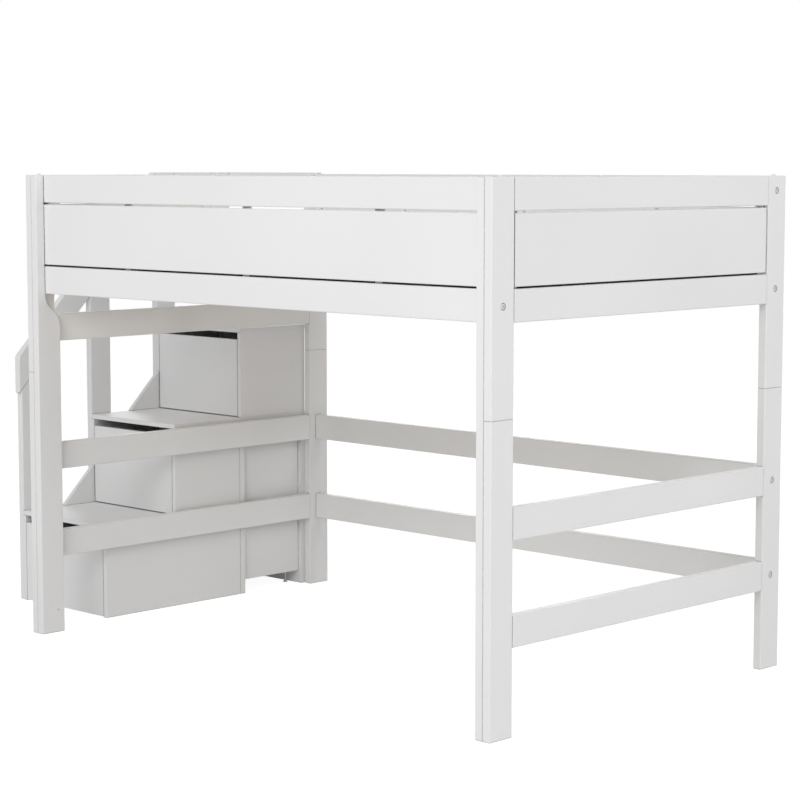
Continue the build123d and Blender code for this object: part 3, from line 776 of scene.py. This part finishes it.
@dataclass
class BedFrame(SubAssembly):
    """Posts, legs and rails, with their bolts and plugs."""

    boards: tuple[BoardGroup, ...] = (
        BoardGroup(
            FRAME_LACQUER,
            Grain.ALONG_Z,
            (
                "upper_post_foot_front",
                "upper_post_foot_back",
                "upper_post_stair_front",
                "upper_post_stair_back",
                "leg_extensions",
                "support_leg_foot",
                "support_leg_stair",
                "entry_post",
            ),
        ),
        BoardGroup(
            FRAME_LACQUER,
            Grain.ALONG_X,
            (
                "front_top_rail",
                "front_lower_rail",
                "back_top_rail",
                "back_lower_rail",
                "back_leg_rails",
            ),
        ),
        BoardGroup(
            FRAME_LACQUER,
            Grain.ALONG_Y,
            (
                "foot_top_rail",
                "foot_lower_rail",
                "foot_leg_rails",
                "entry_top_rail",
                "entry_lower_rail",
                "landing_rail",
                "stair_leg_rails",
            ),
        ),
        BoardGroup(BEECH, Grain.ALONG_Z, ("loose_tongues",)),
        BoardGroup(ZINC, Grain.EVEN, ("rail_bolts", "insert_nuts")),
        BoardGroup(PLUG_PLASTIC, Grain.EVEN, ("post_plugs",)),
    )
    ring_points: int = 48
    wall_x: Span = (-0.7735, 1.2865)
    bolt_y: float = 0.620
    front_bolt_z: tuple[float, ...] = (1.177,)
    back_bolt_z: tuple[float, ...] = (0.293, 0.588, 1.177, 1.475)
    head_radius: float = 0.0085
    head_sink: float = 0.0005
    head_height: float = 0.0035
    head_rim: float = 0.0006
    rim_ease: float = 0.3
    shank_radius: float = 0.004
    shank_reach: float = 0.024
    socket_width: float = 0.006
    socket_depth: float = 0.0022
    socket_floor_radius: float = 0.00075
    plug_spots: tuple[Span, ...] = (
        (1.2725, -0.621),
        (1.2725, 0.621),
        (-0.7595, -0.621),
        (-0.7595, 0.621),
        (-0.7595, 0.149),
    )
    plug_seat: float = 1.520
    plug_top: float = 1.525
    plug_radius: float = 0.006
    plug_brim: float = 0.35
    stem_radius: float = 0.004
    stem_reach: float = 0.013
    stem_tip: Span = (0.001, 0.0005)
    dome_steps: int = 6
    dome_flat: float = 0.0002

    def bolt_rings(self) -> list[list[Point]]:
        """Draws one bolt along Z.

        Returns:
            Its rings, from the tip of the shank to the floor of the socket.
        """
        top = -self.head_sink
        under = top - self.head_height
        rim = self.head_rim
        steps = [
            (under - self.shank_reach, self.shank_radius - rim),
            (under - self.shank_reach + rim, self.shank_radius),
            (under, self.shank_radius),
            (under, self.head_radius - rim / 2),
            (under + rim / 2, self.head_radius),
            (top - rim, self.head_radius),
            (top - rim * self.rim_ease, self.head_radius - rim * self.rim_ease),
            (top, self.head_radius - rim),
        ]
        socket = [
            (top, self.socket_width + rim),
            (top - rim / 2, self.socket_width),
            (top - self.socket_depth, self.socket_width),
        ]
        rings = [circle((0, 0, z), radius, self.ring_points) for z, radius in steps]
        rings += [hexagon((0, 0, z), width, self.ring_points) for z, width in socket]
        floor = (0, 0, top - self.socket_depth - rim)
        return [*rings, circle(floor, self.socket_floor_radius, self.ring_points)]

    def build_bolts(self) -> None:
        """Makes the sunk bolts with their hexagon sockets."""
        maker = MeshMaker("socket_bolts")
        spots = [(-self.bolt_y, z) for z in self.front_bolt_z]
        spots += [(self.bolt_y, z) for z in self.back_bolt_z]
        for x, outward in zip(self.wall_x, (-1, 1)):
            turn = Matrix.Rotation(math.radians(90 * outward), 4, "Y")
            for y, z in spots:
                maker.skin(self.bolt_rings(), Matrix.Translation((x, y, z)) @ turn)
        maker.finish("root", "zinc_plate", ZINC, "rail_bolts")

    def plug_steps(self) -> list[Span]:
        """Draws the outline of one plug, its seat at height 0.

        Returns:
            Heights and radii, from the tip of the stem to the top of the dome.
        """
        rise = self.plug_top - self.plug_seat
        length, taper = self.stem_tip
        steps = [
            (-self.stem_reach, self.stem_radius - taper),
            (length - self.stem_reach, self.stem_radius),
            (0.0, self.stem_radius),
            (0.0, self.plug_radius),
            (rise * self.plug_brim, self.plug_radius),
        ]
        for k in range(1, self.dome_steps + 1):
            turn = math.pi / 2 * k / self.dome_steps
            height = self.plug_brim + (1 - self.plug_brim) * math.sin(turn)
            steps.append((rise * height, self.plug_radius * math.cos(turn) + self.dome_flat))
        return steps

    def build_plugs(self) -> None:
        """Makes the low domed plugs in the tops of the posts."""
        maker = MeshMaker("domed_plugs")
        for x, y in self.plug_spots:
            maker.skin(
                [
                    circle((x, y, self.plug_seat + z), radius, self.ring_points)
                    for z, radius in self.plug_steps()
                ]
            )
        maker.finish("root", "white_plastic", PLUG_PLASTIC, "post_plugs")

    def build(self) -> None:
        """Makes the bolts and plugs."""
        self.build_bolts()
        self.build_plugs()


@dataclass(frozen=True)
class PanelBack:
    """The inner face of a guard panel: the axis that it faces along, and which way."""

    node: str
    axis: int
    inward: int


@dataclass
class GuardPanels(SubAssembly):
    """The four guard panels, and dark strips behind the joints under them, which stand in for the
    shade there.
    """

    boards: tuple[BoardGroup, ...] = (
        BoardGroup(PANEL_LACQUER, Grain.ALONG_X, ("front_panel", "back_panel")),
        BoardGroup(PANEL_LACQUER, Grain.ALONG_Y, ("foot_panel", "entry_panel")),
        BoardGroup(FRAME_LACQUER, Grain.ALONG_Z, ("panel_battens",)),
    )
    backs: tuple[PanelBack, ...] = (
        PanelBack("front_panel", axis=1, inward=1),
        PanelBack("back_panel", axis=1, inward=-1),
        PanelBack("foot_panel", axis=0, inward=-1),
        PanelBack("entry_panel", axis=0, inward=1),
    )
    strip_height: float = 0.016
    strip_thickness: float = 0.0016
    strip_end: float = 0.004
    strip_arris: float = 0.0003
    shortest_strip: float = 0.005
    batten_clearance: float = 0.0005
    batten_pitch: float = 0.05
    face_slack: float = 0.0005
    square_slack: float = 0.01

    def battens_on(self, face: float, axis: int) -> list[Span]:
        """Finds where the battens stand behind a panel, from their solids.

        Args:
            face: Place of the panel's inner face on its axis.
            axis: Axis that the panel faces along.

        Returns:
            Start and end of each batten along the panel, in order.
        """
        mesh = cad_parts["panel_battens"].data
        found: dict[int, list[float]] = {}
        for polygon in mesh.polygons:
            square = abs(abs(polygon.normal[axis]) - 1) < self.square_slack
            if square and abs(polygon.center[axis] - face) < self.face_slack:
                places = [mesh.vertices[k].co[1 - axis] for k in polygon.vertices]
                key = round(sum(places) / len(places) / self.batten_pitch)
                found.setdefault(key, []).extend(places)
        return sorted((min(places), max(places)) for places in found.values())

    def gaps_between(self, low: float, high: float, battens: list[Span]) -> list[Span]:
        """Splits the length of a strip at the battens.

        Args:
            low: Start of the strip.
            high: End of the strip.
            battens: Start and end of each batten, in order.

        Returns:
            Start and end of each length of strip.
        """
        starts = [low, *[end + self.batten_clearance for _, end in battens]]
        ends = [*[start - self.batten_clearance for start, _ in battens], high]
        return [(a, b) for a, b in zip(starts, ends) if b - a > self.shortest_strip]

    def build(self) -> None:
        """Lays a dark strip behind each panel, on the lower rail, as painted shadow in the gap
        under the panel.
        """
        maker = MeshMaker("joint_strips")
        rail_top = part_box("front_lower_rail")[1][2]
        for back in self.backs:
            axis, run = back.axis, 1 - back.axis
            low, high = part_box(back.node)
            face = high[axis] if back.inward > 0 else low[axis]
            near, far = sorted((face, face + back.inward * self.strip_thickness))
            start, end = low[run] + self.strip_end, high[run] - self.strip_end
            for first, last in self.gaps_between(start, end, self.battens_on(face, axis)):
                bottom, top = [0.0, 0.0, rail_top], [0.0, 0.0, rail_top + self.strip_height]
                bottom[axis], top[axis] = near, far
                bottom[run], top[run] = first, last
                maker.slab(tuple(bottom), tuple(top), self.strip_arris)
        maker.finish("root", "lacquered_panel", SHADOW_BLACK)


@dataclass
class SlattedBase(SubAssembly):
    """The slats, the ledges under them, and the centre beam on its hangers."""

    boards: tuple[BoardGroup, ...] = (
        BoardGroup(PINE, Grain.ALONG_X, ("slat_ledges", "centre_beam")),
        BoardGroup(PINE, Grain.ALONG_Y, ("slats",)),
        BoardGroup(ZINC, Grain.EVEN, ("beam_hangers",)),
    )


@dataclass
class Staircase(SubAssembly):
    """The stacked boxes with their treads, and the two levelling feet behind."""

    boards: tuple[BoardGroup, ...] = (
        BoardGroup(
            STAIR_LACQUER,
            Grain.EVEN,
            (
                "step_1_sides",
                "step_2_sides",
                "step_3_sides",
                "tread_1",
                "tread_2",
                "tread_3",
                "step_backs",
                "rear_unit",
                "stair_back_panel",
                "upstands",
            ),
        ),
        BoardGroup(FRAME_LACQUER, Grain.EVEN, ("stair_spacers",)),
        BoardGroup(FOOT_ZINC, Grain.EVEN, ("levelling_feet",)),
    )
    ring_points: int = 48
    foot_spots: tuple[Span, ...] = ((-0.8445, 0.540), (-1.1965, 0.540))
    pad_height: float = 0.006
    pad_outline: tuple[Span, ...] = (
        (0.0, 0.0084),
        (0.0006, 0.009),
        (0.0018, 0.009),
        (0.0024, 0.0083),
        (0.0032, 0.00558),
        (0.0052, 0.0042),
        (0.006, 0.0038),
    )
    stud_radius: float = 0.003
    stud_sink: float = 0.001
    thread_depth: float = 0.0005
    thread_pitch: float = 0.001
    nut_outline: tuple[Span, ...] = (
        (0.0385, 0.0092),
        (0.0389, 0.01),
        (0.0436, 0.01),
        (0.044, 0.0092),
    )
    plate_side: float = 0.044
    plate_z: Span = (0.044, 0.047)
    plate_arris: float = 0.0008

    def build_foot(self, maker: MeshMaker, x: float, y: float) -> None:
        """Makes one foot: a turned pad, a threaded stud with a lock nut, and its plate nut.

        The outlines give the height and radius of each ring of the pad, and the height and
        width of each ring of the nut.

        Args:
            maker: The mesh that it goes into.
            x: Place along the bed.
            y: Place across the bed.
        """
        points = self.ring_points
        maker.skin([circle((x, y, z), radius, points) for z, radius in self.pad_outline])
        seat = (x, y, self.pad_height - self.stud_sink)
        length = self.plate_z[0] - self.pad_height
        maker.thread(seat, self.stud_radius, self.thread_depth, self.thread_pitch, length)
        maker.skin([hexagon((x, y, z), width, points) for z, width in self.nut_outline])
        half = self.plate_side / 2
        under, over = self.plate_z
        maker.slab((x - half, y - half, under), (x + half, y + half, over), self.plate_arris)

    def build(self) -> None:
        """Makes the two feet."""
        maker = MeshMaker("screw_feet")
        for x, y in self.foot_spots:
            self.build_foot(maker, x, y)
        maker.finish("root", "dark_steel", FOOT_ZINC, "levelling_feet")


@dataclass
class StairRailing(SubAssembly):
    """The posts and the raked handrail beside the stairs, and the guard round the landing."""

    boards: tuple[BoardGroup, ...] = (
        BoardGroup(FRAME_LACQUER, Grain.ALONG_Z, ("railing_posts",)),
        BoardGroup(FRAME_LACQUER, Grain.EVEN, ("handrail",)),
        BoardGroup(FRAME_LACQUER, Grain.ALONG_Y, ("landing_guard",)),
    )


@dataclass
class Drawers(SubAssembly):
    """The three drawers behind the risers, with their runners."""

    boards: tuple[BoardGroup, ...] = (
        BoardGroup(
            STAIR_LACQUER, Grain.EVEN, ("drawer_1_front", "drawer_2_front", "drawer_3_front")
        ),
        BoardGroup(DRAWER_FOIL, Grain.EVEN, ("drawer_1_box", "drawer_2_box", "drawer_3_box")),
        BoardGroup(
            RUNNER_ZINC,
            Grain.ALONG_Y,
            ("runner_channels", "drawer_1_slides", "drawer_2_slides", "drawer_3_slides"),
        ),
    )


@dataclass(frozen=True)
class SoftLamp:
    """A square soft lamp that looks at the bed. Its power is in watts."""

    name: str
    place: Point
    aim: Point
    power: float
    size: float = 3.0

    def hang(self) -> None:
        """Hangs the lamp."""
        data = bpy.data.lights.new(self.name, "AREA")
        data.shape = "SQUARE"
        data.size = self.size
        data.energy = self.power
        stand(self.name, data, self.place, Vector(self.aim) - Vector(self.place))


@dataclass(frozen=True)
class Studio:
    """The floor, the light and the camera."""

    floor_size: float = 60.0
    floor_colour: Colour = (0.86, 0.86, 0.86)
    floor_glow: float = 0.93
    shadow_colour: Colour = (0.21, 0.21, 0.21)
    ambient: float = 0.34
    lamps: tuple[SoftLamp, ...] = (
        SoftLamp("front_softbox", (-0.5, -5.5, 5.5), (-0.2, 0.0, 0.6), 110.0),
        SoftLamp("end_softbox", (6.5, 0.5, 4.0), (0.0, 0.0, 0.6), 158.0),
        SoftLamp("near_softbox", (2.5, -6.0, 3.6), (-0.8, 0.0, 0.4), 155.0),
        SoftLamp("back_softbox", (-5.0, 5.0, 3.5), (0.0, 0.0, 0.6), 90.0),
    )
    camera_place: Point = (5.2291, -5.0128, 1.5481)
    camera_yaw: float = 44.57
    camera_pitch: float = 6.0
    camera_lens: float = 100.07
    camera_sensor: float = 36.0
    camera_reach: float = 200.0

    def build_floor(self) -> None:
        """Lays a plain pale floor that shows white and keeps the object's faint shadow."""
        half = self.floor_size / 2
        corners = [(-half, -half, 0), (half, -half, 0), (half, half, 0), (-half, half, 0)]
        mesh = bpy.data.meshes.new("floor")
        mesh.from_pydata(corners, [], [(0, 1, 2, 3)])
        floor = stand("floor", mesh, (0.0, 0.0, 0.0))
        material = bpy.data.materials.new("pale_floor")
        sheet = clear_sheet(material)
        lit = sheet.add("ShaderNodeBsdfDiffuse", Color=rgba(self.floor_colour))
        faint = sheet.add("ShaderNodeBsdfDiffuse", Color=rgba(self.shadow_colour))
        glow = sheet.add("ShaderNodeEmission", Color=WHITE, Strength=self.floor_glow)
        shown = sheet.add("ShaderNodeAddShader", in_0=glow.outputs[0], in_1=faint.outputs[0])
        blend = sheet.add(
            "ShaderNodeMixShader",
            in_0=sheet.background_rays(),
            in_1=lit.outputs[0],
            in_2=shown.outputs[0],
        )
        sheet.add("ShaderNodeOutputMaterial", Surface=blend.outputs[0])
        mesh.materials.append(material)

    def build_world(self) -> None:
        """Makes an even white surround."""
        world = bpy.data.worlds.new("studio")
        sheet = clear_sheet(world)
        light = sheet.add("ShaderNodeBackground", Color=WHITE, Strength=self.ambient)
        shown = sheet.add("ShaderNodeBackground", Color=WHITE, Strength=1.0)
        blend = sheet.add(
            "ShaderNodeMixShader",
            in_0=sheet.background_rays(),
            in_1=light.outputs[0],
            in_2=shown.outputs[0],
        )
        sheet.add("ShaderNodeOutputWorld", Surface=blend.outputs[0])
        bpy.context.scene.world = world

    def build_camera(self) -> None:
        """Places the camera at the photograph's angle."""
        data = bpy.data.cameras.new("camera")
        data.lens = self.camera_lens
        data.sensor_width = self.camera_sensor
        data.clip_end = self.camera_reach
        yaw, pitch = math.radians(self.camera_yaw), math.radians(self.camera_pitch)
        level = math.cos(pitch)
        ahead = Vector((-math.sin(yaw) * level, math.cos(yaw) * level, -math.sin(pitch)))
        bpy.context.scene.camera = stand("camera", data, self.camera_place, ahead)

    def build(self) -> None:
        """Sets up the view transform, the floor, the surround, the lamps and the camera."""
        bpy.context.scene.view_settings.view_transform = "Standard"
        self.build_floor()
        self.build_world()
        for lamp in self.lamps:
            lamp.hang()
        self.build_camera()


def main() -> None:
    """Dresses the bed and the staircase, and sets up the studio."""
    logging.basicConfig(level=logging.INFO, format="%(message)s")
    for part in (
        BedFrame(),
        GuardPanels(),
        SlattedBase(),
        Staircase(),
        StairRailing(),
        Drawers(),
    ):
        part.dress()
    Studio().build()


if __name__ == "__main__":
    main()
